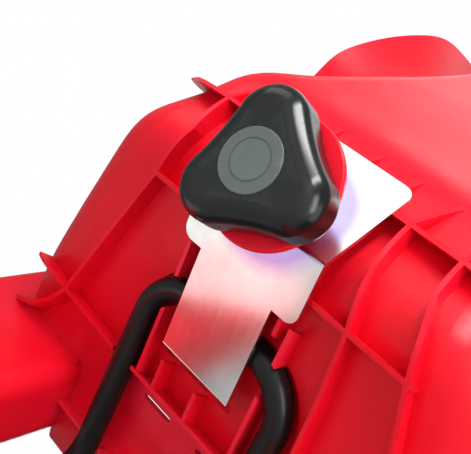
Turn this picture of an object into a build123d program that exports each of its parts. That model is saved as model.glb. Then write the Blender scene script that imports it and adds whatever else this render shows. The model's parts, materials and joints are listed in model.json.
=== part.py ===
"""Reclining child bicycle seat: ribbed moulded shell on a bent support bar, clamped by a knob.

Row frame, millimetres: +Z up, -Y towards the front of the bicycle, +X on the child's left.
The origin is the middle of the clamp bore that grips the bicycle's seat tube.
"""
import os
from math import cos, pi, radians, sin, sqrt

from build123d import *

# ---------------------------------------------------------------- driving dimensions
# Support bar
bar_radius = 8.0
bar_half_gap = 55.0            # from the middle to each leg's centre line
bar_bend = 30.0                # bend radius of the U, on the centre line
bar_rise = 110.0               # from the block to the pivot, upwards
pivot_y = 300.0                # from the block to the pivot, rearwards
bar_end_y = -26.0
bar_low_bend_y = 72.0
bar_slope = 60.0               # degrees, of the rising stretch
bar_leg_tilt = 6.0             # degrees that the legs under the pan rise towards the front
bar_slope_bend = 40.0

# Clamp plate, knob and disc
knob_slope = 16.0              # degrees, of the plane that the knob turns in
plate_low_bend = 26.3          # degrees between that plane and the tongue
plate_high_bend = 31.1         # degrees between that plane and the upper flange
plate_thick = 2.5
plate_head_width = 86.0
plate_tongue_width = 55.0
plate_ear_length = 38.2        # bend ridge to the ears' lower edge
plate_tongue_length = 103.0    # bend ridge to the small end flange
plate_upper_length = 65.4
plate_corner = 7.0
pivot_on_plate = 73.0          # bend ridge to the bar's cross-piece, along the tongue
pivot_depth = 12.0             # tongue's outer face to the bar's centre line
knob_up = 17.0                 # knob axis above the bend ridge
disc_radius = 36.0
disc_face = 12.5               # disc's outer face above the bend ridge
disc_thick = 4.0
knob_base = 14.0
knob_top = 38.2
knob_lobe_radius = 18.9
knob_lobe_centre = 22.7
knob_side_radius = 134.0       # of the hollow sides between the lobes
knob_turn = -5.0               # degrees, of the first lobe from the child's right
knob_cap_radius = 16.6
bolt_radius = 4.0
clamp_travel = 3.0

# Seat shell
wall = 3.2
rib_thick = 2.6
rib_clear = 0.4
floor_depth_pan = 16.0         # tongue's outer face to the shell's outer face
floor_depth_corner = 14.5
back_slope = 76.0              # degrees, of the backrest
back_start = 84.0              # up the corner facet to the backrest
back_start_depth = 12.0
pan_fan = 195.0                # bend ridge to the first fanned section
pan_length = 252.0
nose_half_width = 96.0
guard_line = 194.0             # bend ridge to the leg guards' joint
back_length = 560.0

# Pads
pad_thick = 14.0
pad_gap = 1.6

# Frame block
tube_radius = 14.3             # seat tube of 28.6 mm
tube_lean = 17.0               # degrees from upright
block_half_width = 71.0
block_height = 64.0

# Leg guards and footrests
guard_in, guard_out = 93.0, 207.0
guard_drop = 300.0
guard_lean = 9.0

os.makedirs("parts", exist_ok=True)


def finish(builder, name):
    """Label a finished piece and write its file."""
    builder.part.label = name
    export_step(builder.part, f"parts/{name}.step")


# ---------------------------------------------------------------- reference lines and planes
def along(slope):
    """Unit step up a line of this slope in the side view, as (y, z)."""
    return cos(radians(slope)), sin(radians(slope))


def inward(slope):
    """Unit step from such a line towards the child, as (y, z)."""
    return -sin(radians(slope)), cos(radians(slope))


def side_point(start, slope, run, depth):
    """Point `run` up a line and `depth` behind it, seen from the side."""
    a, n = along(slope), inward(slope)
    return start[0] + run * a[0] + depth * n[0], start[1] + run * a[1] + depth * n[1]


def face_plane(point, slope):
    """Plane of a rear face: local X to the child's right, local Y up, local Z outwards."""
    n = inward(slope)
    return Plane(origin=(0, point[0], point[1]), x_dir=(-1, 0, 0), z_dir=(0, -n[0], -n[1]))


def section_plane(point, slope):
    """Plane of a shell section: local X to the child's right, local Y towards the child."""
    a = along(slope)
    return Plane(origin=(0, point[0], point[1]), x_dir=(-1, 0, 0), z_dir=(0, a[0], a[1]))


pan_slope = knob_slope - plate_low_bend
corner_slope = knob_slope + plate_high_bend
pivot = (pivot_y, bar_rise)
ridge = side_point(pivot, pan_slope, pivot_on_plate, -pivot_depth)
knob_plane = face_plane(ridge, knob_slope)
pan_plane = face_plane(ridge, pan_slope)
corner_plane = face_plane(ridge, corner_slope)
knob_axis = face_plane(side_point(ridge, knob_slope, knob_up, 0), knob_slope)

floor_pan = side_point(ridge, pan_slope, 0, floor_depth_pan)
floor_corner = side_point(ridge, corner_slope, 0, floor_depth_corner)
floor_back = side_point(ridge, corner_slope, back_start, back_start_depth)


def crossing(p, slope_p, q, slope_q):
    """Where two side-view lines cross, as (y, z)."""
    a, b = along(slope_p), along(slope_q)
    det = a[1] * b[0] - a[0] * b[1]
    run = (b[0] * (q[1] - p[1]) - b[1] * (q[0] - p[0])) / det
    return p[0] + run * a[0], p[1] + run * a[1]


# The sections of the corner fan out from one line in front of the lap
pan_foot = side_point(floor_pan, pan_slope, -pan_fan, 0)
back_foot = side_point(floor_back, back_slope, 168, 0)
fan = crossing(pan_foot, pan_slope + 90, back_foot, back_slope + 90)


def floor_distance(slope):
    """Distance from the fan line to the shell's outer face, square to this slope."""
    reach = []
    for point, line_slope in ((floor_pan, pan_slope), (floor_corner, corner_slope), (floor_back, back_slope)):
        n = inward(line_slope)
        gap = (fan[0] - point[0]) * n[0] + (fan[1] - point[1]) * n[1]
        reach.append(gap / cos(radians(slope - line_slope)))
    return min(reach)


# Shell stations: place, flat half width, corner radius, wall angle, wall height, lip width, lip drop
pan_stations = [
    (-pan_length, 151, 36, 64, 48, 10, 2),
]
fan_stations = [
    (pan_slope, 150, 40, 68, 70, 11, 2.5),
    (-1, 143, 40, 72, 92, 12, 3),
    (8, 134, 40, 75, 108, 13, 3),
    (17, 121, 40, 77, 116, 14, 3),
    (23, 111, 39, 78, 118, 14, 3),
    (29, 102, 37, 78, 116, 14, 3),
    (35, 95, 35, 77, 110, 15, 3),
    (41, 90, 33, 76, 102, 16, 4),
    (48, 86.5, 30, 74, 92, 18, 7),
    (57, 84, 27, 71, 80, 22, 14),
    (66, 83.5, 25, 67, 68, 29, 23),
    (back_slope, 83, 24, 62, 58, 41, 31),
]
back_stations = [
    (230, 84, 24, 58, 51, 62, 31),
    (290, 88, 25, 58, 52, 64, 39),
    (350, 95, 28, 62, 56, 56, 48),
    (410, 102, 31, 67, 64, 46, 50),
    (465, 104, 34, 70, 70, 30, 32),
    (515, 98, 38, 69, 64, 16, 10),
    (back_length, 80, 42, 62, 42, 10, 2),
]


def stations(first_extra=0.0, last_extra=0.0):
    """Every station as (plane, sizes), with the two end stations moved outwards on request."""
    rows = []
    for i, (run, *sizes) in enumerate(pan_stations):
        step = first_extra if i == 0 else 0.0
        rows.append((section_plane(side_point(floor_pan, pan_slope, run - step, 0), pan_slope), sizes))
    for slope, *sizes in fan_stations:
        point = side_point(fan, slope, 0, -floor_distance(slope))
        rows.append((section_plane(point, slope), sizes))
    for i, (run, *sizes) in enumerate(back_stations):
        step = last_extra if i == len(back_stations) - 1 else 0.0
        rows.append((section_plane(side_point(floor_back, back_slope, run + step, 0), back_slope), sizes))
    return rows


def tub_outline(sizes, skin):
    """Closed half-tub section: `skin` inside the outer face, without the lip when skin is not 0."""
    flat, corner, angle, height, lip, drop = sizes
    turn = radians(angle)
    radius = corner - skin
    centre = (flat, corner)
    start = (flat, skin)
    middle = (centre[0] + radius * sin(turn / 2), centre[1] - radius * cos(turn / 2))
    end = (centre[0] + radius * sin(turn), centre[1] - radius * cos(turn))
    top = height if skin == 0 else height + wall + 25
    rise = (top - end[1]) / sin(turn)
    rim = (end[0] + rise * cos(turn), top)
    if skin:
        tips = [rim]
    else:
        edge = (rim[0] + lip, height - drop)
        tips = [rim, edge, (edge[0] + 0.6, edge[1] + wall), (rim[0] + 0.6, height + wall)]
    return start, middle, end, tips


def mirrored(point):
    """The same point on the child's left."""
    return -point[0], point[1]


def draw_section(sizes, skin):
    """Draw one closed section in the running line builder."""
    start, middle, end, tips = tub_outline(sizes, skin)
    Line(mirrored(start), start)
    ThreePointArc(start, middle, end)
    run = [end, *tips]
    for a, b in zip(run, run[1:]):
        Line(a, b)
    Line(tips[-1], mirrored(tips[-1]))
    for a, b in zip(run[::-1], run[::-1][1:]):
        Line(mirrored(a), mirrored(b))
    ThreePointArc(mirrored(end), mirrored(middle), mirrored(start))


with BuildPart() as tub_body:
    for plane, sizes in stations():
        with BuildSketch(plane):
            with BuildLine():
                draw_section(sizes, 0)
            make_face()
    loft()

with BuildPart() as tub_hollow:
    for plane, sizes in stations(first_extra=8.0, last_extra=-wall):
        with BuildSketch(plane):
            with BuildLine():
                draw_section(sizes, wall)
            make_face()
    loft()


# ---------------------------------------------------------------- support bar and its ends
bar_leg_end = crossing((bar_low_bend_y, 0), bar_slope, pivot, -bar_leg_tilt)
bar_left_leg = [
    (bar_half_gap, bar_end_y, 0),
    (bar_half_gap, bar_low_bend_y, 0),
    (bar_half_gap, *bar_leg_end),
    (bar_half_gap, *pivot),
]
bar_points = bar_left_leg + [(-x, y, z) for x, y, z in reversed(bar_left_leg)]
bar_bends = [bar_slope_bend, bar_slope_bend, bar_bend, bar_bend, bar_slope_bend, bar_slope_bend]
bar_mouth = Plane(origin=bar_points[0], x_dir=(1, 0, 0), z_dir=(0, 1, 0))

with BuildPart() as support_bar:
    with BuildLine() as bar_path:
        FilletPolyline(*bar_points, radius=bar_bends)
    with BuildSketch(bar_mouth):
        Circle(bar_radius)
    sweep(path=bar_path.wire())
    with BuildSketch(bar_mouth):
        Circle(bar_radius - 1.5)
    sweep(path=bar_path.wire(), mode=Mode.SUBTRACT)
finish(support_bar, "support_bar")

with BuildPart() as bar_plugs:
    for side in (1, -1):
        with BuildSketch(Plane(origin=(side * bar_half_gap, bar_end_y, 0), x_dir=(1, 0, 0), z_dir=(0, 1, 0))):
            Circle(bar_radius - 1.6)
        extrude(amount=12)
        with BuildSketch(Plane(origin=(side * bar_half_gap, bar_end_y, 0), x_dir=(1, 0, 0), z_dir=(0, 1, 0))):
            Circle(bar_radius)
        extrude(amount=-2.5)
finish(bar_plugs, "bar_end_plugs")

# ---------------------------------------------------------------- seat shell
rib_tops = {"pan": floor_depth_pan - plate_thick - rib_clear, "corner": floor_depth_corner - plate_thick - rib_clear}
rib_heights = [rib_tops["pan"]] * 6 + [rib_tops["corner"]] * 2 + [0.8, -1.2, -1.5]
plate_cos_low, plate_cos_high = cos(radians(plate_low_bend)), cos(radians(plate_high_bend))


def up_knob_plane(run):
    """Distance up the knob plane of a place that lies `run` along the bent plate from its ridge."""
    return run * (plate_cos_high if run > 0 else plate_cos_low)


long_ribs = [
    [(-76, 96), (-84, 49), (-78, 16), (-82, -21), (-100, -71), (-121, -132), (-132, -148), (-149, -165), (-174, -175)],
    [(-40, -40), (-40, -134)],
    [(-27, 96), (-25, 50), (-25, -50)],
    [(-25, -114), (-25, -135)],
    [(4, 96), (4, -50)],
    [(4, -114), (4, -135)],
    [(31, 96), (32, 50), (32, -50)],
    [(40, -40), (40, -134)],
    [(62, 96), (52, 50), (58, 14), (66, -20), (70, -60), (74, -134)],
    [(88, 96), (84, 49), (88, 24), (96, 3), (104, -25), (119, -71), (136, -130)],
]
cross_ribs = [
    [(-149, 45), (-86, 48), (86, 48), (130, 45)],
    [(-84, -21), (106, -21)],
    [(-160, -129), (-121, -132), (-63, -136), (63, -136), (160, -130)],
    [(-nose_half_width, -206), (nose_half_width, -206)],
]

with BuildPart() as rib_room:
    for (plane, sizes), height in zip(stations(), rib_heights):
        flat, corner, angle = sizes[:3]
        grown = (flat, corner + height, angle, corner + height, 0, 0)
        start, middle, end, tips = tub_outline(grown, 0)
        with BuildSketch(plane):
            with BuildLine():
                low = [(p[0], p[1] - height) for p in (start, middle, end)]
                Line(mirrored(low[0]), low[0])
                ThreePointArc(*low)
                Line(low[2], mirrored(low[2]))
                ThreePointArc(mirrored(low[2]), mirrored(low[1]), mirrored(low[0]))
            make_face()
    loft()

with BuildPart() as ribs:
    for route in long_ribs + cross_ribs:
        with BuildSketch(knob_plane.offset(20)):
            with BuildLine():
                Polyline(*[(x, up_knob_plane(run)) for x, run in route])
            trace(line_width=rib_thick)
        extrude(amount=-190)
    add(rib_room.part, mode=Mode.INTERSECT)

leg_normal = inward(-bar_leg_tilt)
bar_plan = Plane(origin=(0, pivot[0], pivot[1]), x_dir=(1, 0, 0), z_dir=(0, leg_normal[0], leg_normal[1]))
bar_u = [(bar_half_gap, -175), (bar_half_gap, 0), (-bar_half_gap, 0), (-bar_half_gap, -175)]
pocket_high = bar_radius + 2.2


def bar_trace(width):
    """Sketch the plan of the bar's U at this width."""
    with BuildLine() as bar_line:
        FilletPolyline(*bar_u, radius=bar_bend)
    trace(bar_line.edges(), line_width=width)


with BuildPart() as bar_housing:
    with BuildSketch(bar_plan.offset(pocket_high + wall)):
        bar_trace(2 * bar_radius + 2.6 + 2 * wall)
    extrude(amount=-40)
    add(tub_body.part, mode=Mode.INTERSECT)

bolt_seat_depth = 38.0
boss_radius = 13.0
spring_floor = -31.0
guard_screw_row = -guard_line + 6.8
guard_screw_places = [(side * x, guard_screw_row) for side in (1, -1) for x in (112, 142)]
with BuildPart() as seat_shell:
    add(tub_body.part)
    add(ribs.part)
    add(tub_hollow.part, mode=Mode.SUBTRACT)
    add(bar_housing.part)
    # Boss for the clamp bolt, square to the knob
    with BuildSketch(knob_axis.offset(-15)):
        Circle(boss_radius)
    extrude(amount=15 - bolt_seat_depth)
    with BuildSketch(knob_axis.offset(-60)):
        Circle(bolt_radius + 0.3)
    extrude(amount=80, mode=Mode.SUBTRACT)
    # Pocket for the release spring
    with BuildSketch(knob_axis.offset(spring_floor)):
        Circle(9.2)
    extrude(amount=40, mode=Mode.SUBTRACT)
    # Clear of the plate, which lies on the ribs
    with BuildSketch(Plane(origin=(-46, 0, 0), x_dir=(0, 1, 0), z_dir=(1, 0, 0))):
        with BuildLine():
            under = plate_thick + rib_clear
            low_line = side_point(ridge, pan_slope, -plate_tongue_length, under)
            high_line = side_point(ridge, corner_slope, plate_upper_length + 1.5, under)
            meet = crossing(low_line, pan_slope, high_line, corner_slope)
            Polyline(meet, high_line, side_point(high_line, corner_slope, 0, -60),
                     side_point(low_line, pan_slope, 0, -60), low_line, meet)
        make_face()
    extrude(amount=92, mode=Mode.SUBTRACT)
    # Screw holes for the leg guards
    with BuildSketch(pan_plane):
        with Locations(*guard_screw_places):
            Circle(2.5)
    extrude(amount=-40, mode=Mode.SUBTRACT)
    # Room for the bar through the ribs and the floor, open downwards for the recline
    with BuildSketch(bar_plan.offset(pocket_high)):
        bar_trace(2 * bar_radius + 2.6)
    extrude(amount=-90, mode=Mode.SUBTRACT)
    # Recesses where the legs hang past the pan's nose
    with BuildSketch(pan_plane.offset(40)):
        with Locations((200, -guard_line - 100), (-200, -guard_line - 100)):
            Rectangle(2 * (200 - nose_half_width), 200)
    extrude(amount=-200, mode=Mode.SUBTRACT)
    # Foot and crotch strap slots in the pan, harness slots in the back
    with BuildSketch(pan_plane):
        with Locations((-25, -157), (25, -157)):
            SlotOverall(26, 3.9)
    extrude(amount=-40, both=True, mode=Mode.SUBTRACT)
    back_plane = face_plane(floor_back, back_slope)
    with BuildSketch(back_plane.offset(30)):
        with Locations((-46, 300), (46, 300), (-46, 360), (46, 360)):
            SlotOverall(44, 3.9)
    extrude(amount=-60, mode=Mode.SUBTRACT)
finish(seat_shell, "seat_shell")

# ---------------------------------------------------------------- clamp plate
flange_plane = face_plane(side_point(ridge, pan_slope, -plate_tongue_length, 0), pan_slope - 36)
hole_clear = bolt_radius + 0.3

with BuildPart() as clamp_plate:
    with BuildSketch(corner_plane):
        with Locations((0, plate_upper_length / 2)):
            Rectangle(plate_head_width, plate_upper_length)
    extrude(amount=-plate_thick)
    with BuildSketch(pan_plane):
        with Locations((0, -plate_ear_length / 2)):
            Rectangle(plate_head_width, plate_ear_length)
        with Locations((0, -plate_tongue_length / 2)):
            Rectangle(plate_tongue_width, plate_tongue_length)
    extrude(amount=-plate_thick)
    with BuildSketch(flange_plane):
        with Locations((0, -4.4)):
            Rectangle(plate_tongue_width, 9.8)
    extrude(amount=-plate_thick)
    # Rounded corners of the head and the ears
    upright = clamp_plate.edges().filter_by(lambda e: abs(e.length - plate_thick) < 0.01)
    corners = upright.filter_by(lambda e: abs(abs(e.center().X) - plate_head_width / 2) < 0.1)
    fillet(corners, radius=plate_corner)
    folds = clamp_plate.edges().filter_by(Axis.X).filter_by(
        lambda e: abs(e.center().Y - ridge[0]) < 0.05 and abs(e.center().Z - ridge[1]) < 0.05)
    fillet(folds, radius=3.0)
    with BuildSketch(knob_axis.offset(10)):
        Circle(hole_clear)
    extrude(amount=-60, mode=Mode.SUBTRACT)
finish(clamp_plate, "clamp_plate")

# ---------------------------------------------------------------- pivot saddle and clamp pad
pivot_low = face_plane(pivot, pan_slope)
saddle_bore = bar_radius + 0.06
saddle_half = 17.0
cross_section = Plane(origin=(-saddle_half, pivot[0], pivot[1]), x_dir=(0, 1, 0), z_dir=(1, 0, 0))

with BuildPart() as pivot_saddle:
    with BuildSketch(cross_section):
        Circle(bar_radius + 1.3)
        with Locations((0, -10 - 0.6)):
            Rectangle(30, 20, mode=Mode.SUBTRACT)
    extrude(amount=2 * saddle_half)
    with BuildSketch(cross_section):
        with Locations((0, pocket_high / 2 + 3)):
            Rectangle(14, pocket_high - 6)
    extrude(amount=2 * saddle_half)
    with BuildSketch(cross_section):
        Circle(saddle_bore)
    extrude(amount=2 * saddle_half, mode=Mode.SUBTRACT)
finish(pivot_saddle, "pivot_saddle")

pad_floor = pivot_depth - plate_thick
with BuildPart() as clamp_pad:
    with BuildSketch(pivot_low.offset(pad_floor)):
        RectangleRounded(2 * saddle_half, 16.4, 2)
    extrude(amount=3.2 - pad_floor)
    with BuildSketch(cross_section.offset(-1)):
        Circle(saddle_bore)
    extrude(amount=2 * saddle_half + 2, mode=Mode.SUBTRACT)
finish(clamp_pad, "clamp_pad")

# ---------------------------------------------------------------- disc, knob and bolt
with BuildPart() as clamp_disc:
    with BuildSketch(knob_axis.offset(disc_face - disc_thick)):
        Circle(disc_radius)
    extrude(amount=disc_thick)
    rim = clamp_disc.edges().filter_by(GeomType.CIRCLE).sort_by(Axis((0, 0, 0), tuple(knob_axis.z_dir)))
    fillet(rim, radius=1.2)
    # Wedge hub that sits astride the plate's bend
    with BuildSketch(knob_axis.offset(disc_face - disc_thick + 0.5)):
        Circle(20)
    extrude(amount=-30)
    with BuildSketch(Plane(origin=(-40, 0, 0), x_dir=(0, 1, 0), z_dir=(1, 0, 0))):
        with BuildLine():
            low_end = side_point(ridge, pan_slope, -60, 0)
            high_end = side_point(ridge, corner_slope, 60, 0)
            deep = side_point(ridge, knob_slope, 0, 90)
            Polyline(ridge, low_end, deep, high_end, ridge)
        make_face()
    extrude(amount=80, mode=Mode.SUBTRACT)
    with BuildSketch(knob_axis.offset(20)):
        Circle(hole_clear)
    extrude(amount=-60, mode=Mode.SUBTRACT)
finish(clamp_disc, "clamp_disc")

disc_gap = 0.4
washer_thick = knob_base - disc_face - disc_gap
with BuildPart() as knob_washer:
    with BuildSketch(knob_axis.offset(disc_face)):
        Circle(11)
        Circle(hole_clear, mode=Mode.SUBTRACT)
    extrude(amount=washer_thick)
finish(knob_washer, "knob_washer")

insert_radius, insert_start, insert_end = 6.5, knob_base + 1, knob_top - 8.0
lobe_turns = [radians(knob_turn + 120 * i) for i in range(3)]
side_reach = sqrt((knob_side_radius + knob_lobe_radius) ** 2 - (knob_lobe_centre * sin(pi / 3)) ** 2)
side_centre = knob_lobe_centre / 2 + side_reach


def knob_point(angle, distance):
    """Point of the knob's plan, from its middle."""
    return distance * cos(angle), distance * sin(angle)


def between(centre, other, distance):
    """Point `distance` from one centre towards the other."""
    gap = sqrt((other[0] - centre[0]) ** 2 + (other[1] - centre[1]) ** 2)
    return tuple(c + distance * (o - c) / gap for c, o in zip(centre, other))


with BuildPart() as knob_body:
    with BuildSketch(knob_axis.offset(knob_base)):
        with BuildLine():
            for turn in lobe_turns:
                lobe = knob_point(turn, knob_lobe_centre)
                after = knob_point(turn + 2 * pi / 3, knob_lobe_centre)
                hollow_before = knob_point(turn - pi / 3, side_centre)
                hollow_after = knob_point(turn + pi / 3, side_centre)
                ThreePointArc(between(lobe, hollow_before, knob_lobe_radius),
                              knob_point(turn, knob_lobe_centre + knob_lobe_radius),
                              between(lobe, hollow_after, knob_lobe_radius))
                ThreePointArc(between(lobe, hollow_after, knob_lobe_radius),
                              knob_point(turn + pi / 3, side_centre - knob_side_radius),
                              between(after, hollow_after, knob_lobe_radius))
        make_face()
    extrude(amount=knob_top - knob_base)
    spin = Axis(knob_axis.origin, knob_axis.z_dir)
    top_edges = knob_body.faces().sort_by(spin)[-1].edges()
    fillet(top_edges, radius=10.5)
    fillet(knob_body.faces().sort_by(spin)[0].edges(), radius=2.5)
    with BuildSketch(knob_axis.offset(knob_top)):
        Circle(knob_cap_radius + 0.15)
    extrude(amount=-1.4, mode=Mode.SUBTRACT)
    with BuildSketch(knob_axis.offset(insert_start)):
        RegularPolygon(insert_radius, 6)
    extrude(amount=insert_end - insert_start, mode=Mode.SUBTRACT)
    with BuildSketch(knob_axis):
        Circle(hole_clear)
    extrude(amount=insert_end + 4, mode=Mode.SUBTRACT)
finish(knob_body, "knob_body")

with BuildPart() as knob_insert:
    with BuildSketch(knob_axis.offset(insert_start)):
        RegularPolygon(insert_radius, 6)
        Circle(bolt_radius + 0.05, mode=Mode.SUBTRACT)
    extrude(amount=insert_end - insert_start)
finish(knob_insert, "knob_insert")

with BuildPart() as knob_cap:
    with BuildSketch(knob_axis.offset(knob_top - 1.2)):
        Circle(knob_cap_radius)
    extrude(amount=1.8)
    fillet(knob_cap.edges().sort_by(spin)[-1], radius=0.5)
    # Plain ring mark on the cap
    with BuildSketch(knob_axis.offset(knob_top + 0.6)):
        Circle(11)
        Circle(10, mode=Mode.SUBTRACT)
    extrude(amount=-0.3, mode=Mode.SUBTRACT)
finish(knob_cap, "knob_cap")

bolt_end = insert_end + 1.5
with BuildPart() as clamp_bolt:
    with BuildSketch(knob_axis.offset(-bolt_seat_depth)):
        Circle(9)
    extrude(amount=-3.5)
    fillet(clamp_bolt.edges().sort_by(spin)[0], radius=2)
    with BuildSketch(knob_axis.offset(-bolt_seat_depth)):
        Circle(bolt_radius)
    extrude(amount=bolt_seat_depth + bolt_end)
    chamfer(clamp_bolt.edges().sort_by(spin)[-1], length=0.8)
finish(clamp_bolt, "clamp_bolt")

spring_turns, spring_wire, spring_start = 4, 0.7, spring_floor + 0.8
with BuildPart() as release_spring:
    with BuildLine() as coil:
        Helix(pitch=2.6, height=2.6 * spring_turns, radius=7.2,
              center=knob_axis.offset(spring_start).origin, direction=knob_axis.z_dir)
    with BuildSketch(Plane(origin=coil.wire() @ 0, z_dir=coil.wire() % 0)):
        Circle(spring_wire)
    sweep(path=coil.wire(), is_frenet=True)
finish(release_spring, "release_spring")

# ---------------------------------------------------------------- frame block
half_height = block_height / 2
block_rear, arm_front, jaw_front = 46.0, -31.0, -40.0
jaw_half_width = 37.0
tube_dir = (0, sin(radians(tube_lean)), cos(radians(tube_lean)))
tube_plane = Plane(origin=(0, 0, 0), x_dir=(1, 0, 0), z_dir=tube_dir)
screw_x, screw_z = 27.0, 20.0
screw_radius = 3.0
screw_places = [(x, z) for x in (-screw_x, screw_x) for z in (-screw_z, screw_z)]
screw_head_y = jaw_front + 7
nut_y = 30.0
button_half = (16.0, 10.5)
button_stroke = 4.0
button_floor = 27.0


def front_plane(y):
    """Upright plane at this place along Y: local X along +X, local Y along +Z, local Z along -Y."""
    return Plane(origin=(0, y, 0), x_dir=(1, 0, 0), z_dir=(0, -1, 0))


with BuildPart() as frame_block:
    with BuildSketch(Plane.XY.offset(-half_height)):
        with Locations((0, (block_rear + arm_front) / 2)):
            RectangleRounded(2 * block_half_width, block_rear - arm_front, 9)
        with Locations((0, arm_front / 2 - 10)):
            Rectangle(2 * jaw_half_width + 1, 20 - arm_front, mode=Mode.SUBTRACT)
    extrude(amount=block_height)
    flats = frame_block.faces().filter_by(Axis.Z)
    fillet(flats.sort_by(Axis.Z)[-1].edges() + flats.sort_by(Axis.Z)[0].edges(), radius=3)
    with BuildSketch(tube_plane.offset(-60)):
        Circle(tube_radius)
    extrude(amount=120, mode=Mode.SUBTRACT)
    for side in (1, -1):
        with BuildSketch(front_plane(block_rear + 1)):
            with Locations((side * bar_half_gap, 0)):
                Circle(bar_radius + 0.03)
        extrude(amount=block_rear + 1 - bar_end_y + 2.6, mode=Mode.SUBTRACT)
    with BuildSketch(front_plane(block_rear + 1)):
        with Locations(*screw_places):
            RegularPolygon(6, 6)
    extrude(amount=block_rear + 1 - nut_y, mode=Mode.SUBTRACT)
    with BuildSketch(front_plane(block_rear + 1)):
        with Locations(*screw_places):
            Circle(screw_radius + 0.3)
    extrude(amount=block_rear + 41, mode=Mode.SUBTRACT)
    with BuildSketch(front_plane(block_rear + 1)):
        Rectangle(2 * button_half[0], 2 * button_half[1])
    extrude(amount=block_rear + 1 - button_floor, mode=Mode.SUBTRACT)
finish(frame_block, "frame_block")

with BuildPart() as clamp_jaw:
    with BuildSketch(Plane.XY.offset(-half_height)):
        with Locations((0, (jaw_front - 1) / 2)):
            RectangleRounded(2 * jaw_half_width, -jaw_front - 1, 7)
    extrude(amount=block_height)
    flats = clamp_jaw.faces().filter_by(Axis.Z)
    fillet(flats.sort_by(Axis.Z)[-1].edges() + flats.sort_by(Axis.Z)[0].edges(), radius=2.5)
    with BuildSketch(tube_plane.offset(-60)):
        Circle(tube_radius)
    extrude(amount=120, mode=Mode.SUBTRACT)
    with BuildSketch(front_plane(10)):
        with Locations(*screw_places):
            Circle(screw_radius + 0.3)
    extrude(amount=60, mode=Mode.SUBTRACT)
    with BuildSketch(front_plane(screw_head_y)):
        with Locations(*screw_places):
            Circle(5.6)
    extrude(amount=20, mode=Mode.SUBTRACT)
finish(clamp_jaw, "clamp_jaw")

with BuildPart() as clamp_screws:
    with BuildSketch(front_plane(screw_head_y)):
        with Locations(*screw_places):
            Circle(5)
    extrude(amount=6)
    with BuildSketch(front_plane(nut_y + 7)):
        with Locations(*screw_places):
            Circle(screw_radius)
    extrude(amount=nut_y + 7 - screw_head_y)
    with BuildSketch(front_plane(screw_head_y - 6)):
        with Locations(*screw_places):
            RegularPolygon(2.8, 6)
    extrude(amount=-3, mode=Mode.SUBTRACT)
finish(clamp_screws, "clamp_screws")

with BuildPart() as clamp_nuts:
    with BuildSketch(front_plane(nut_y + 5)):
        with Locations(*screw_places):
            RegularPolygon(5.8, 6)
    extrude(amount=5)
    with BuildSketch(front_plane(nut_y + 5)):
        with Locations(*screw_places):
            Circle(screw_radius)
    extrude(amount=5, mode=Mode.SUBTRACT)
finish(clamp_nuts, "clamp_nuts")

with BuildPart() as release_button:
    with BuildSketch(front_plane(block_rear + 3)):
        RectangleRounded(2 * button_half[0] - 0.7, 2 * button_half[1] - 0.7, 2)
    extrude(amount=block_rear + 3 - button_floor - button_stroke - 2)
    fillet(release_button.faces().sort_by(Axis.Y)[-1].edges(), radius=1.5)
    with BuildSketch(front_plane(button_floor)):
        Circle(6)
    extrude(amount=-17.5, mode=Mode.SUBTRACT)
finish(release_button, "release_button")

with BuildPart() as button_spring:
    with BuildLine() as button_coil:
        Helix(pitch=2.9, height=2.9 * 4, radius=4.4, center=(0, button_floor + 0.8, 0), direction=(0, 1, 0))
    with BuildSketch(Plane(origin=button_coil.wire() @ 0, z_dir=button_coil.wire() % 0)):
        Circle(0.6)
    sweep(path=button_coil.wire(), is_frenet=True)
finish(button_spring, "button_spring")

# ---------------------------------------------------------------- leg guards and footrests
guard_top = side_point(floor_pan, pan_slope, -guard_line, 0)
guard_mid = (guard_in + guard_out) / 2
guard_down = (-sin(radians(guard_lean)), -cos(radians(guard_lean)))
guard_skin = 3.0
guard_sections = [(-50, 114, 60), (-10, 114, 62), (70, 111, 66), (170, 105, 68), (guard_drop, 98, 64)]
foot_rest_at = 185.0
foot_width, foot_long = 84.0, 112.0


def guard_plane(run, side):
    """Plane square to a leg guard, `run` down from its top: local X outwards from the middle, local Y back."""
    return Plane(
        origin=(side * guard_mid, guard_top[0] + run * guard_down[0], guard_top[1] + run * guard_down[1]),
        x_dir=(1, 0, 0), z_dir=(0, -guard_down[0], -guard_down[1]))


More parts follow.
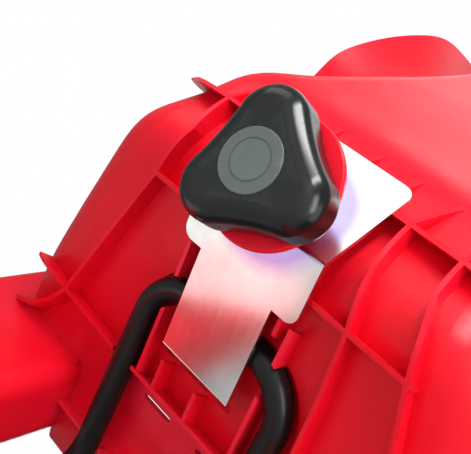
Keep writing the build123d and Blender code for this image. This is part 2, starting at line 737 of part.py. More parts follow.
def build_side(side, name):
    """Make one leg guard with its footrest and foot strap."""
    with BuildPart() as hollow:
        for run, width, depth in guard_sections:
            step = -5 if run < 0 else 5 if run == guard_drop else 0
            with BuildSketch(guard_plane(run + step, side)):
                with Locations((0, 14 - guard_skin - depth / 2 - 15)):
                    RectangleRounded(width - 2 * guard_skin, depth + 30, 13)
        loft()
    with BuildPart() as guard:
        for run, width, depth in guard_sections:
            with BuildSketch(guard_plane(run, side)):
                with Locations((0, 14 - depth / 2)):
                    RectangleRounded(width, depth, 16)
        loft()
        add(hollow.part, mode=Mode.SUBTRACT)
        # Trim to the shell's outer face, with a flange inside the channel that screws to the pan
        add(tub_body.part, mode=Mode.SUBTRACT)
        with BuildSketch(pan_plane.offset(-floor_depth_pan + 0.05)):
            with Locations((-side * 127, guard_screw_row)):
                Rectangle(56, 12.4)
        extrude(amount=guard_skin)
        with BuildSketch(pan_plane):
            with Locations(*guard_screw_places):
                Circle(2.7)
        extrude(amount=-60, mode=Mode.SUBTRACT)
        # Height holes for the footrest
        for step in range(5):
            with BuildSketch(guard_plane(foot_rest_at - 60 + 25 * step, side)):
                with Locations((-22, 14), (22, 14)):
                    Rectangle(12, 20)
            extrude(amount=6, mode=Mode.SUBTRACT)
    finish(guard, f"leg_guard_{name}")

    sole = guard_plane(foot_rest_at, side)
    back_gap = 14 - guard_skin - 0.5
    with BuildPart() as rest:
        with BuildSketch(sole):
            with Locations((0, back_gap - foot_long / 2)):
                RectangleRounded(foot_width, foot_long, 12)
        extrude(amount=-9)
        with BuildSketch(sole.offset(-5)):
            with Locations((0, back_gap - foot_long / 2)):
                RectangleRounded(foot_width - 8, foot_long - 8, 9)
        extrude(amount=6, mode=Mode.SUBTRACT)
        with BuildSketch(sole.offset(-9)):
            with Locations((0, back_gap - 2)):
                Rectangle(foot_width - 24, 4)
        extrude(amount=52)
        for x in (-1, 1):
            with BuildSketch(sole.offset(-9)):
                with Locations((x * (foot_width / 2 - 2), back_gap - 62)):
                    Rectangle(4, 26)
            extrude(amount=24)
    finish(rest, f"footrest_{name}")

    with BuildPart() as strap:
        arch = Plane(origin=sole.offset(8).origin + sole.y_dir * (back_gap - 62), x_dir=(1, 0, 0),
                     z_dir=tuple(sole.y_dir))
        with BuildSketch(arch):
            with BuildLine():
                reach = foot_width / 2 + 0.1
                Line((-reach, 8), (-reach, -8))
                ThreePointArc((-reach, -8), (0, -46), (reach, -8))
                Line((reach, -8), (reach, 8))
                Line((reach, 8), (reach + 2.4, 8))
                Line((reach + 2.4, 8), (reach + 2.4, -8))
                ThreePointArc((reach + 2.4, -8), (0, -48.4), (-reach - 2.4, -8))
                Line((-reach - 2.4, -8), (-reach - 2.4, 8))
                Line((-reach - 2.4, 8), (-reach, 8))
            make_face()
        extrude(amount=10, both=True)
    finish(strap, f"foot_strap_{name}")


for side, name in ((1, "left"), (-1, "right")):
    build_side(side, name)

screw_seat = pan_plane.offset(-floor_depth_pan - wall - 0.05)
screw_head = 2.4
with BuildPart() as guard_screws:
    with BuildSketch(screw_seat):
        with Locations(*guard_screw_places):
            Circle(4.5)
    extrude(amount=-screw_head)
    with BuildSketch(screw_seat):
        with Locations(*guard_screw_places):
            Circle(2.5)
    extrude(amount=wall + guard_skin + 2)
    with BuildSketch(screw_seat.offset(-screw_head)):
        with Locations(*guard_screw_places):
            Rectangle(5, 1)
            Rectangle(1, 5)
    extrude(amount=1.2, mode=Mode.SUBTRACT)
finish(guard_screws, "guard_screws")

# ---------------------------------------------------------------- reflector
reflector_plane = face_plane(side_point(floor_back, back_slope, 440, 0), back_slope)
with BuildPart() as reflector_base:
    with BuildSketch(reflector_plane.offset(0.1)):
        RectangleRounded(96, 40, 8)
    extrude(amount=3.9)
    with BuildSketch(reflector_plane.offset(1.8)):
        RectangleRounded(90, 34, 6)
    extrude(amount=5, mode=Mode.SUBTRACT)
finish(reflector_base, "reflector_base")
with BuildPart() as reflector_lens:
    with BuildSketch(reflector_plane.offset(1.8)):
        RectangleRounded(89.6, 33.6, 5.8)
    extrude(amount=4.4)
    fillet(reflector_lens.faces().sort_by(Axis(reflector_plane.origin, reflector_plane.z_dir))[-1].edges(), radius=1.5)
finish(reflector_lens, "reflector_lens")

# ---------------------------------------------------------------- seat pads
pan_pad_plane = face_plane(side_point(floor_pan, pan_slope, 0, wall + pad_gap), pan_slope)
back_pad_plane = face_plane(side_point(floor_back, back_slope, 0, wall + pad_gap), back_slope)
with BuildPart() as pan_pad:
    with BuildSketch(pan_pad_plane):
        with Locations((0, -140)):
            RectangleRounded(168, 196, 26)
    extrude(amount=-pad_thick)
    fillet(pan_pad.faces().sort_by(Axis.Z)[-1].edges(), radius=5)
    with BuildSketch(pan_pad_plane.offset(1)):
        with Locations((0, -115)):
            Rectangle(2 * bar_half_gap + 28, 140)
    extrude(amount=-11, mode=Mode.SUBTRACT)
    # Windows above the crotch strap slots
    with BuildSketch(pan_pad_plane.offset(1)):
        with Locations((-31, -163), (31, -163)):
            RectangleRounded(52, 32, 10)
    extrude(amount=-pad_thick - 2, mode=Mode.SUBTRACT)
finish(pan_pad, "pan_pad")
with BuildPart() as back_pad:
    with BuildSketch(back_pad_plane):
        with Locations((0, 255)):
            RectangleRounded(146, 420, 30)
    extrude(amount=-pad_thick)
    fillet(back_pad.faces().sort_by(Axis.Y)[0].edges(), radius=5)
finish(back_pad, "back_pad")
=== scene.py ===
"""Looks of the reclining child bicycle seat: materials, soft pads, moulded details, camera and studio."""
import json
import math

import bmesh
import bpy
from mathutils import Matrix, Vector


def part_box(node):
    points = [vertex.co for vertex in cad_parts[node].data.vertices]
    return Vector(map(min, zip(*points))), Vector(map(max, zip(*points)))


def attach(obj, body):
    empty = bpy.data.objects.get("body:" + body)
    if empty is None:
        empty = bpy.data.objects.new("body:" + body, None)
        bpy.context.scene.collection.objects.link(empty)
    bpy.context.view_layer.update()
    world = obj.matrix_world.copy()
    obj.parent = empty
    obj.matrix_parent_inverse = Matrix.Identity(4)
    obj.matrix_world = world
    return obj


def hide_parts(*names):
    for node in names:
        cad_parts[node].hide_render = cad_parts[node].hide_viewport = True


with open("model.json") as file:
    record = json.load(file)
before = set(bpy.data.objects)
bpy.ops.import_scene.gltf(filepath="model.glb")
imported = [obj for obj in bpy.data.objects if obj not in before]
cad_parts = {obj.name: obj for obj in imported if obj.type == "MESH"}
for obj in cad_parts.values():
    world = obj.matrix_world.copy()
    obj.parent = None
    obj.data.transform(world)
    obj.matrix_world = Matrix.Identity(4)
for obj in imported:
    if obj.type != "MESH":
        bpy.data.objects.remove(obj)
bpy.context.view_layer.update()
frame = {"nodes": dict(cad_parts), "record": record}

nodes = frame["nodes"]
scene = bpy.context.scene


# ---------------------------------------------------------------- camera and studio
BACKDROP_GLOW = 1.0
DIM_SIDE, BRIGHT_SIDE = 0.05, 0.36        # glow of the surroundings away from and towards the window
WINDOW_DIRECTION = (0.54, 0.84, -0.06)
CLAMP = (0.0, 0.39, 0.06)
PAN = (0.03, 0.30, 0.10)
BACKREST = (0.0, 0.45, 0.40)
STUDIO_LIGHTS = (
    # name, place, aimed at, size, power
    ("rear_strip", (-0.126, 1.18, 0.0), CLAMP, (0.16, 0.62), 7.5),
    ("rear_window", (0.75, 1.35, -0.15), CLAMP, (0.9, 0.7), 3.6),
    ("front_window", (1.2, -1.7, 1.4), BACKREST, (1.3, 1.3), 24.0),
    ("over_window", (0.6, 1.0, 2.2), CLAMP, (1.4, 1.4), 8.0),
    ("side_window", (-1.7, 0.5, 0.3), CLAMP, (1.2, 1.2), 8.0),
    ("low_fill", (-0.95, 0.85, -0.30), PAN, (0.8, 0.5), 9.0),
)
CARD_PLACE, CARD_TARGET = (0.083, 0.252, -0.011), (0.005, 0.325, 0.093)
CARD_UP, CARD_SIZE, CARD_POWER = (0.293, 0.93, -0.23), (0.11, 0.07), 0.020


CAMERA_PLACE = (-0.1983, 0.4680, -0.2315)
CAMERA_FORWARD, CAMERA_UP = (0.528, -0.283, 0.801), (0.543, 0.838, -0.063)
CAMERA_LENS, CAMERA_SENSOR = 59.8, 36.0
FLOOR_HALF, FLOOR_HEIGHT = 4.0, -0.45


def make_camera():
    """Camera under the seat's rear corner, looking up at the knob."""
    data = bpy.data.cameras.new("camera")
    data.lens = CAMERA_LENS
    data.sensor_width = CAMERA_SENSOR
    data.clip_start = 0.01
    camera = bpy.data.objects.new("camera", data)
    scene.collection.objects.link(camera)
    forward = Vector(CAMERA_FORWARD).normalized()
    up = Vector(CAMERA_UP)
    up = (up - up.dot(forward) * forward).normalized()
    right = forward.cross(up)
    turn = Matrix((right, up, -forward)).transposed()
    camera.matrix_world = Matrix.Translation(CAMERA_PLACE) @ turn.to_4x4()
    scene.camera = camera


def add_light(name, place, target, size, power):
    """One square soft light aimed at a point."""
    data = bpy.data.lights.new(name, "AREA")
    data.shape = "RECTANGLE"
    data.size, data.size_y = size
    data.energy = power
    light = bpy.data.objects.new(name, data)
    scene.collection.objects.link(light)
    light.location = place
    light.visible_camera = False
    light.rotation_euler = (Vector(target) - Vector(place)).to_track_quat("-Z", "Y").to_euler()


def add_card():
    """Small white card that the clamp plate's tongue mirrors."""
    add_light("card", CARD_PLACE, CARD_TARGET, CARD_SIZE, CARD_POWER)
    card = bpy.data.objects["card"]
    back = (Vector(CARD_PLACE) - Vector(CARD_TARGET)).normalized()
    across = Vector(CARD_UP).cross(back).normalized()
    card.rotation_euler = Matrix((across, back.cross(across), back)).transposed().to_euler()


def make_studio():
    """Pale floor below the hanging seat, white surroundings and soft lights."""
    mesh = bpy.data.meshes.new("floor")
    half = FLOOR_HALF
    corners = [(-half, -half, 0), (half, -half, 0), (half, half, 0), (-half, half, 0)]
    mesh.from_pydata(corners, [], [(0, 1, 2, 3)])
    floor = bpy.data.objects.new("floor", mesh)
    floor.location.z = FLOOR_HEIGHT
    scene.collection.objects.link(floor)
    paint = bpy.data.materials.new("floor_paint")
    paint.use_nodes = True
    shader = paint.node_tree.nodes["Principled BSDF"]
    shader.inputs["Base Color"].default_value = (0.82, 0.82, 0.82, 1)
    shader.inputs["Roughness"].default_value = 0.8
    mesh.materials.append(paint)
    world = bpy.data.worlds.new("studio")
    world.use_nodes = True
    tree = world.node_tree
    backdrop = tree.nodes["Background"]
    backdrop.inputs["Color"].default_value = (1, 1, 1, 1)
    backdrop.inputs["Strength"].default_value = BACKDROP_GLOW
    ambient = tree.nodes.new("ShaderNodeBackground")
    ambient.inputs["Color"].default_value = (0.93, 0.97, 1.0, 1)
    direction = tree.nodes.new("ShaderNodeTexCoord")
    facing = add_node(tree, "ShaderNodeVectorMath",
                      [(0, direction.outputs["Generated"]), (1, WINDOW_DIRECTION)], operation="DOT_PRODUCT")
    glow = remap(tree, facing.outputs["Value"], -0.7, 0.9, DIM_SIDE, BRIGHT_SIDE)
    tree.links.new(glow, ambient.inputs["Strength"])
    rays = tree.nodes.new("ShaderNodeLightPath")
    choose = tree.nodes.new("ShaderNodeMixShader")
    tree.links.new(rays.outputs["Is Camera Ray"], choose.inputs[0])
    tree.links.new(ambient.outputs[0], choose.inputs[1])
    tree.links.new(backdrop.outputs[0], choose.inputs[2])
    tree.links.new(choose.outputs[0], tree.nodes["World Output"].inputs["Surface"])
    scene.world = world
    scene.view_settings.view_transform = "Standard"
    for name, place, target, size, power in STUDIO_LIGHTS:
        add_light(name, place, target, size, power)
    add_card()


# ---------------------------------------------------------------- shader helpers and shared groups
def new_group(name, inputs, outputs):
    """Empty shader group with typed sockets; returns the tree and its two end nodes."""
    tree = bpy.data.node_groups.new(name, "ShaderNodeTree")
    for label, kind, value in inputs:
        socket = tree.interface.new_socket(label, in_out="INPUT", socket_type=kind)
        socket.default_value = value
    for label, kind in outputs:
        tree.interface.new_socket(label, in_out="OUTPUT", socket_type=kind)
    return tree, tree.nodes.new("NodeGroupInput"), tree.nodes.new("NodeGroupOutput")


def add_node(tree, kind, links=(), **values):
    """Add a node, set its properties and its sockets by name or number, and link its inputs."""
    node = tree.nodes.new(kind)
    for key, value in values.items():
        setattr(node, key, value)
    for socket, source in links:
        if hasattr(source, "is_output"):
            tree.links.new(source, node.inputs[socket])
        else:
            node.inputs[socket].default_value = source
    return node


FLOAT = "NodeSocketFloat"


def build_moulded_grain():
    """Fine moulded-plastic surface: slow colour drift, spark-eroded grain height and gloss variation."""
    tree, start, end = new_group(
        "moulded_grain",
        [("Grain Scale", FLOAT, 900.0), ("Drift Scale", FLOAT, 9.0), ("Drift", FLOAT, 0.06)],
        [("Shade", FLOAT), ("Height", FLOAT), ("Gloss", FLOAT)])
    place = add_node(tree, "ShaderNodeTexCoord").outputs["Object"]
    drift = add_node(tree, "ShaderNodeTexNoise", [("Vector", place), ("Scale", start.outputs["Drift Scale"]),
                                                  ("Detail", 4.0), ("Roughness", 0.55)])
    shade = add_node(tree, "ShaderNodeMath", [(0, drift.outputs["Fac"]), (1, 0.5)], operation="SUBTRACT")
    scaled = add_node(tree, "ShaderNodeMath", [(0, shade.outputs[0]), (1, start.outputs["Drift"])],
                      operation="MULTIPLY")
    grain = add_node(tree, "ShaderNodeTexNoise", [("Vector", place), ("Scale", start.outputs["Grain Scale"]),
                                                  ("Detail", 2.0), ("Roughness", 0.6)])
    ripple = add_node(tree, "ShaderNodeTexNoise", [("Vector", place), ("Scale", 38.0), ("Detail", 1.0)])
    mixed = add_node(tree, "ShaderNodeMath",
                     [(0, ripple.outputs["Fac"]), (1, 0.8), (2, grain.outputs["Fac"])],
                     operation="MULTIPLY_ADD")
    tree.links.new(scaled.outputs[0], end.inputs["Shade"])
    tree.links.new(mixed.outputs[0], end.inputs["Height"])
    tree.links.new(drift.outputs["Fac"], end.inputs["Gloss"])
    return tree


def build_scratches_and_edge_highlight():
    """Light scuffs as thin stretched scratches, and a painted highlight on convex edges, each as a mask from
    0 to 1.
    """
    tree, start, end = new_group(
        "scratches_and_edge_highlight",
        [("Scale", FLOAT, 60.0), ("Amount", FLOAT, 0.4)],
        [("Scratch", FLOAT), ("Painted Edge Highlight", FLOAT)])
    coords = add_node(tree, "ShaderNodeTexCoord").outputs["Object"]
    stretched = add_node(tree, "ShaderNodeMapping", [("Vector", coords), ("Rotation", (0.5, 0.3, 0.9)),
                                                     ("Scale", (1.0, 9.0, 1.5))])
    noise = add_node(tree, "ShaderNodeTexNoise", [("Vector", stretched.outputs[0]),
                                                  ("Scale", start.outputs["Scale"]), ("Detail", 6.0),
                                                  ("Roughness", 0.7)])
    thin = add_node(tree, "ShaderNodeMapRange", [("Value", noise.outputs["Fac"]), ("From Min", 0.62),
                                                 ("From Max", 0.72)])
    scratch = add_node(tree, "ShaderNodeMath", [(0, thin.outputs[0]), (1, start.outputs["Amount"])],
                       operation="MULTIPLY")
    # Painted highlight: pointiness marks convex edges, which are given a lighter colour standing in for the
    # light that rounded edges catch.
    point = add_node(tree, "ShaderNodeNewGeometry").outputs["Pointiness"]
    edge = add_node(tree, "ShaderNodeMapRange", [("Value", point), ("From Min", 0.52), ("From Max", 0.62)])
    tree.links.new(scratch.outputs[0], end.inputs["Scratch"])
    tree.links.new(edge.outputs[0], end.inputs["Painted Edge Highlight"])
    return tree


def build_brushed_streaks():
    """Rolled and plated sheet: long fine streaks with soft cloudy patches."""
    tree, start, end = new_group(
        "brushed_streaks", [("Streak Scale", FLOAT, 240.0)], [("Streak", FLOAT), ("Cloud", FLOAT)])
    coords = add_node(tree, "ShaderNodeTexCoord").outputs["Object"]
    stretched = add_node(tree, "ShaderNodeMapping", [("Vector", coords), ("Scale", (1.0, 0.05, 0.05))])
    streak = add_node(tree, "ShaderNodeTexNoise", [("Vector", stretched.outputs[0]),
                                                   ("Scale", start.outputs["Streak Scale"]), ("Detail", 5.0),
                                                   ("Roughness", 0.7)])
    cloud = add_node(tree, "ShaderNodeTexNoise", [("Vector", coords), ("Scale", 22.0), ("Detail", 6.0),
                                                  ("Roughness", 0.62)])
    tree.links.new(streak.outputs["Fac"], end.inputs["Streak"])
    tree.links.new(cloud.outputs["Fac"], end.inputs["Cloud"])
    return tree


def build_woven_cloth():
    """Square weave of round threads, with lint."""
    tree, start, end = new_group(
        "woven_cloth", [("Thread Scale", FLOAT, 420.0)], [("Thread", FLOAT), ("Lint", FLOAT)])
    coords = add_node(tree, "ShaderNodeTexCoord").outputs["Object"]
    split = add_node(tree, "ShaderNodeSeparateXYZ", [(0, coords)])
    waves = []
    along_seat = add_node(tree, "ShaderNodeMath", [(0, split.outputs["Y"]), (1, split.outputs["Z"])],
                          operation="ADD")
    for source in (split.outputs["X"], along_seat.outputs[0]):
        scaled = add_node(tree, "ShaderNodeMath", [(0, source), (1, start.outputs["Thread Scale"])],
                          operation="MULTIPLY")
        turned = add_node(tree, "ShaderNodeMath", [(0, scaled.outputs[0]), (1, math.pi)],
                          operation="MULTIPLY")
        wave = add_node(tree, "ShaderNodeMath", [(0, turned.outputs[0])], operation="SINE")
        waves.append(add_node(tree, "ShaderNodeMath", [(0, wave.outputs[0])], operation="ABSOLUTE"))
    thread = add_node(tree, "ShaderNodeMath", [(0, waves[0].outputs[0]), (1, waves[1].outputs[0])],
                      operation="MULTIPLY")
    lint = add_node(tree, "ShaderNodeTexNoise", [("Vector", coords), ("Scale", 160.0), ("Detail", 8.0),
                                                 ("Roughness", 0.75)])
    tree.links.new(thread.outputs[0], end.inputs["Thread"])
    tree.links.new(lint.outputs["Fac"], end.inputs["Lint"])
    return tree


GROUPS = {
    "grain": build_moulded_grain(),
    "scuffs_and_edge_highlight": build_scratches_and_edge_highlight(),
    "streaks": build_brushed_streaks(),
    "cloth": build_woven_cloth(),
}


def place_group(tree, key, **values):
    """Put one shared group into a material, with its own values."""
    node = tree.nodes.new("ShaderNodeGroup")
    node.node_tree = GROUPS[key]
    for label, value in values.items():
        node.inputs[label.replace("_", " ")].default_value = value
    return node


def new_material(name, roughness, metallic=0.0, coat=0.0, specular=0.5):
    """Material with a Principled shader whose plain values are set on the shader itself."""
    material = bpy.data.materials.new(name)
    material.use_nodes = True
    shader = material.node_tree.nodes["Principled BSDF"]
    shader.inputs["Roughness"].default_value = roughness
    shader.inputs["Metallic"].default_value = metallic
    shader.inputs["Coat Weight"].default_value = coat
    shader.inputs["Specular IOR Level"].default_value = specular
    return material, material.node_tree, shader


def mix_colours(tree, mask, low, high):
    """Mix two colours by a mask and return the colour socket."""
    mix = add_node(tree, "ShaderNodeMix", data_type="RGBA")
    for socket, value in ((0, mask), (6, low), (7, high)):
        if hasattr(value, "is_output"):
            tree.links.new(value, mix.inputs[socket])
        else:
            mix.inputs[socket].default_value = value if socket == 0 else (*value, 1)
    return mix.outputs[2]


def add_bump(tree, shader, height, strength, distance):
    """Drive the shader's normal from a height."""
    bump = add_node(tree, "ShaderNodeBump",
                    [("Height", height), ("Strength", strength), ("Distance", distance)])
    tree.links.new(bump.outputs[0], shader.inputs["Normal"])


def remap(tree, value, low, high, to_low, to_high):
    """Map a value from one range to another and return the socket."""
    return add_node(tree, "ShaderNodeMapRange", [("Value", value), ("From Min", low), ("From Max", high),
                                                 ("To Min", to_low), ("To Max", to_high)]).outputs[0]


def plastic(name, dark, light, roughness, grain_height=0.00002, grain_scale=900.0, coat=0.0,
            specular=0.4, edge_highlight_colour=None):
    """Moulded plastic with drifting shade, grain, scratches and a painted highlight on convex edges."""
    material, tree, shader = new_material(name, roughness, coat=coat, specular=specular)
    grain = place_group(tree, "grain", Grain_Scale=grain_scale, Drift=1.0)
    scuffs_and_edge_highlight = place_group(tree, "scuffs_and_edge_highlight", Amount=0.35)
    shade = remap(tree, grain.outputs["Shade"], -0.25, 0.25, 0.0, 1.0)
    colour = mix_colours(tree, shade, dark, light)
    # Painted edge highlight: its colour defaults to a lighter version of the plastic.
    edge_highlight_colour = edge_highlight_colour or tuple(min(1.0, c * 1.25 + 0.02) for c in light)
    # Painted edge highlight: convex edges are mixed towards the lighter colour.
    colour = mix_colours(tree, scuffs_and_edge_highlight.outputs["Painted Edge Highlight"], colour, edge_highlight_colour)
    tree.links.new(colour, shader.inputs["Base Color"])
    gloss = remap(tree, grain.outputs["Gloss"], 0.3, 0.7, roughness - 0.04, roughness + 0.05)
    rough = add_node(tree, "ShaderNodeMath", [(0, scuffs_and_edge_highlight.outputs["Scratch"]), (1, 0.3), (2, gloss)],
                     operation="MULTIPLY_ADD")
    tree.links.new(rough.outputs[0], shader.inputs["Roughness"])
    add_bump(tree, shader, grain.outputs["Height"], 0.35, grain_height)
    return material


# Painted reflection: a violet ring on the zinc plate round the knob's axis stands in for the knob mirrored
# in the plate.
PAINTED_KNOB_REFLECTION_CENTRE = nodes["clamp_plate"].matrix_world.inverted() @ Vector((0.0, 0.386, 0.0898))
PAINTED_KNOB_REFLECTION_INNER, PAINTED_KNOB_REFLECTION_OUTER = 0.036, 0.046      # metres from the knob's axis
PAINTED_KNOB_REFLECTION_COLOUR = (0.30, 0.20, 0.62)


def plated_sheet(name, dark, light, roughness):
    """Zinc plated sheet: cool grey with faint clouds, rolling streaks and a painted violet reflection of the
    knob round its axis.
    """
    material, tree, shader = new_material(name, roughness, metallic=1.0)
    streaks = place_group(tree, "streaks")
    scuffs_and_edge_highlight = place_group(tree, "scuffs_and_edge_highlight", Scale=90.0, Amount=0.6)
    colour = mix_colours(tree, remap(tree, streaks.outputs["Cloud"], 0.35, 0.65, 0, 1), dark, light)
    place = add_node(tree, "ShaderNodeTexCoord").outputs["Object"]
    # Painted reflection of the knob: violet is mixed in by distance from the knob's axis, full inside the
    # inner radius and gone at the outer one.
    apart = add_node(tree, "ShaderNodeVectorMath", [(0, place), (1, PAINTED_KNOB_REFLECTION_CENTRE)], operation="DISTANCE")
    ring = remap(tree, apart.outputs["Value"], PAINTED_KNOB_REFLECTION_INNER, PAINTED_KNOB_REFLECTION_OUTER, 0.75, 0.0)
    colour = mix_colours(tree, ring, colour, PAINTED_KNOB_REFLECTION_COLOUR)
    tree.links.new(colour, shader.inputs["Base Color"])
    rough = remap(tree, streaks.outputs["Streak"], 0.3, 0.7, roughness - 0.02, roughness + 0.03)
    rough = add_node(tree, "ShaderNodeMath", [(0, scuffs_and_edge_highlight.outputs["Scratch"]), (1, 0.05), (2, rough)],
                     operation="MULTIPLY_ADD")
    tree.links.new(rough.outputs[0], shader.inputs["Roughness"])
    add_bump(tree, shader, streaks.outputs["Streak"], 0.02, 0.00002)
    return material


def metal(name, dark, light, roughness):
    """Turned or drawn metal."""
    material, tree, shader = new_material(name, roughness, metallic=1.0)
    streaks = place_group(tree, "streaks", Streak_Scale=600.0)
    tree.links.new(mix_colours(tree, streaks.outputs["Cloud"], dark, light), shader.inputs["Base Color"])
    rough = remap(tree, streaks.outputs["Streak"], 0.3, 0.7, roughness - 0.06, roughness + 0.08)
    tree.links.new(rough, shader.inputs["Roughness"])
    add_bump(tree, shader, streaks.outputs["Streak"], 0.15, 0.00002)
    return material


def cloth(name, dark, light):
    """Woven pad cover."""
    material, tree, shader = new_material(name, 0.92, specular=0.25)
    weave = place_group(tree, "cloth")
    colour = mix_colours(tree, weave.outputs["Thread"], dark, light)
    lint = mix_colours(tree, remap(tree, weave.outputs["Lint"], 0.55, 0.75, 0, 0.35), colour,
                       tuple(c * 2.2 + 0.02 for c in light))
    tree.links.new(lint, shader.inputs["Base Color"])
    shader.inputs["Sheen Weight"].default_value = 0.3
    add_bump(tree, shader, weave.outputs["Thread"], 0.6, 0.0003)
    return material


MATERIALS = {
    "red_plastic": plastic("red_plastic", (0.66, 0.002, 0.013), (0.78, 0.003, 0.018), 0.34, specular=0.26,
                           edge_highlight_colour=(0.82, 0.012, 0.04)),
    "knob_black": plastic("knob_black", (0.004, 0.006, 0.006), (0.008, 0.011, 0.011), 0.24, specular=0.42,
                          grain_scale=1400.0, edge_highlight_colour=(0.03, 0.036, 0.036)),
    "knob_grey": plastic("knob_grey", (0.075, 0.095, 0.085), (0.10, 0.125, 0.115), 0.42, grain_scale=1400.0),
    "zinc_plate": plated_sheet("zinc_plate", (0.62, 0.70, 0.67), (0.82, 0.88, 0.85), 0.19),
    "black_tube": plastic("black_tube", (0.003, 0.0035, 0.004), (0.007, 0.008, 0.008), 0.32,
                          grain_height=0.00004,
                          grain_scale=500.0, specular=0.3),
    "block_black": plastic("block_black", (0.014, 0.014, 0.015), (0.028, 0.028, 0.030), 0.55,
                           grain_height=0.00008),
    "steel": metal("steel", (0.50, 0.50, 0.50), (0.68, 0.68, 0.67), 0.28),
    "brass": metal("brass", (0.60, 0.42, 0.16), (0.78, 0.58, 0.26), 0.26),
    "nylon": plastic("nylon", (0.02, 0.02, 0.02), (0.035, 0.035, 0.035), 0.5),
    "strap_rubber": plastic("strap_rubber", (0.012, 0.012, 0.012), (0.024, 0.024, 0.024), 0.62,
                            grain_height=0.0001),
    "reflector_red": plastic("reflector_red", (0.42, 0.0, 0.004), (0.60, 0.004, 0.008), 0.12, coat=0.6),
    "pad_fabric": cloth("pad_fabric", (0.010, 0.011, 0.012), (0.045, 0.047, 0.050)),
}


def dress_cad():
    """Give every carried-over CAD node its material."""
    for part in frame["record"]["subparts"]:
        node = nodes[part["node"]]
        node.data.materials.clear()
        node.data.materials.append(MATERIALS[part["material_slot"]])


# ---------------------------------------------------------------- soft pads
PADS = {
    # node: slope of the shell face, voxel, thickness, sewn channels as (place, half length) along the face
    "pan_pad": {"slope": -10.3, "voxel": 0.0032, "channels": (-0.066, 0.058), "rim": (0.168, 0.196, 0.026)},
    "back_pad": {"slope": 76.0, "voxel": 0.0045, "channels": (-0.15, -0.085, -0.02, 0.045, 0.11),
                 "rim": (0.146, 0.420, 0.030)},
}
PAD_THICKNESS = 0.014
PRESSURE = 4.0
CROWN = 0.007          # most that a point of the cover may rise
SIDE_SWELL = 0.0015    # most that it may move sideways
SHRINK = 0.985
DOME_SHARE, DOME_EDGE = 0.7, 0.022     # share of the crown that is shaped, and how far in it is full
SWELL_SHARE = 0.3                      # share of the simulated outward move that is kept
CLOTH_STEPS = 20
CHANNEL_DEPTH, CHANNEL_WIDTH = 0.0036, 0.0045
PIPING_RADIUS = 0.0021


def evaluated_copy(piece):
    """The piece's mesh with its modifiers applied."""
    graph = bpy.context.evaluated_depsgraph_get()
    graph.update()
    return bpy.data.meshes.new_from_object(piece.evaluated_get(graph))


def bake_modifier(piece):
    """Apply everything on the piece to its mesh."""
    mesh = evaluated_copy(piece)
    piece.modifiers.clear()
    piece.data = mesh


def pad_axes(node, slope):
    """Centre of a pad and its axes: across, along the face, and towards the child."""
    low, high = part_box(node)
    centre = (Vector(low) + Vector(high)) / 2
    angle = math.radians(slope)
    across = Vector((1, 0, 0))
    along = Vector((0, math.cos(angle), math.sin(angle)))
    outward = Vector((0, -math.sin(angle), math.cos(angle)))
    return centre, across, along, outward


def inflate(piece):
    """Blow the cover up with a short cloth simulation and return where its points end."""
    swell = piece.modifiers.new("swell", "CLOTH")
    swell.settings.use_pressure = True
    swell.settings.uniform_pressure_force = PRESSURE
    swell.settings.effector_weights.gravity = 0.0
    swell.settings.quality = 5
    for step in range(1, CLOTH_STEPS + 1):
        scene.frame_set(step)
    swollen = [v.co.copy() for v in evaluated_copy(piece).vertices]
    piece.modifiers.clear()
    scene.frame_set(1)
    return swollen


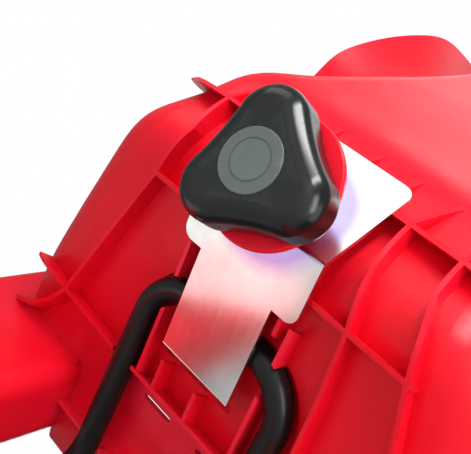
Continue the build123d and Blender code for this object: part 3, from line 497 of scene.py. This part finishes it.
def make_pad(node, slope, voxel, channels, rim):
    """Padded cover in place of a plain CAD pad: crowned, flat where it rests, with sewn channels."""
    centre, across, along, outward = pad_axes(node, slope)
    source = nodes[node]
    mesh = source.data.copy()
    mesh.transform(source.matrix_world)
    mesh.materials.clear()
    mesh.materials.append(MATERIALS["pad_fabric"])
    for point in mesh.vertices:
        point.co = centre + (point.co - centre) * SHRINK
    pad = bpy.data.objects.new(node.replace("_pad", "_cushion"), mesh)
    scene.collection.objects.link(pad)
    remesh = pad.modifiers.new("even", "REMESH")
    remesh.mode = "VOXEL"
    remesh.voxel_size = voxel
    relax = pad.modifiers.new("relax", "SMOOTH")
    relax.factor = 0.5
    relax.iterations = 4
    bake_modifier(pad)
    before = [point.co.copy() for point in pad.data.vertices]
    swollen = inflate(pad)
    half_width, half_length = rim[0] / 2, rim[1] / 2
    for point, start, end in zip(pad.data.vertices, before, swollen):
        local = start - centre
        u, v, w = local.dot(across), local.dot(along), local.dot(outward)
        move = end - start
        side_u = max(-SIDE_SWELL, min(SIDE_SWELL, move.dot(across)))
        side_v = max(-SIDE_SWELL, min(SIDE_SWELL, move.dot(along)))
        top = max(0.0, min(1.0, w / PAD_THICKNESS + 0.5))
        inset = max(0.0, min(half_width - abs(u), half_length - abs(v)))
        dome = CROWN * DOME_SHARE * (1 - math.exp(-inset / DOME_EDGE)) * top
        rise = max(0.0, min(CROWN, dome + move.dot(outward) * SWELL_SHARE)) * top
        for place in channels:
            rise -= top * CHANNEL_DEPTH * math.exp(-((v - place) / CHANNEL_WIDTH) ** 2)
        point.co = start + across * side_u + along * side_v + outward * rise
    fine = pad.modifiers.new("fine", "SUBSURF")
    fine.levels = fine.render_levels = 1
    bake_modifier(pad)
    for face in pad.data.polygons:
        face.use_smooth = True
    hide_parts(node)
    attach(pad, "seat")
    make_piping(node, centre, across, along, outward, rim)


def make_piping(node, centre, across, along, outward, rim):
    """Round piping sewn round a pad's edge."""
    width, length, radius = rim
    path = []
    corners = ((1, 1, 0), (-1, 1, 90), (-1, -1, 180), (1, -1, 270))
    for side_u, side_v, first in corners:
        mid = Vector((side_u * (width / 2 - radius), side_v * (length / 2 - radius)))
        for step in range(9):
            turn = math.radians(first + step * 90 / 8)
            path.append(mid + Vector((math.cos(turn), math.sin(turn))) * radius)
    build = bmesh.new()
    rings = []
    count = len(path)
    for index, point in enumerate(path):
        ahead = path[(index + 1) % count] - path[index - 1]
        normal = Vector((ahead.y, -ahead.x)).normalized()
        ring = []
        for step in range(8):
            turn = step * math.pi / 4
            flat = point + normal * (PIPING_RADIUS * math.cos(turn))
            place = centre + across * flat.x + along * flat.y + outward * (PIPING_RADIUS * math.sin(turn))
            ring.append(build.verts.new(place))
        rings.append(ring)
    for index, ring in enumerate(rings):
        after = rings[(index + 1) % count]
        for step in range(8):
            build.faces.new((ring[step], ring[(step + 1) % 8], after[(step + 1) % 8], after[step]))
    bmesh.ops.recalc_face_normals(build, faces=build.faces)
    mesh = bpy.data.meshes.new(node + "_piping")
    build.to_mesh(mesh)
    build.free()
    mesh.materials.append(MATERIALS["strap_rubber"])
    for face in mesh.polygons:
        face.use_smooth = True
    piping = bpy.data.objects.new(node.replace("_pad", "_piping"), mesh)
    scene.collection.objects.link(piping)
    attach(piping, "seat")


make_camera()
make_studio()
dress_cad()
for pad_node, values in PADS.items():
    make_pad(pad_node, **values)
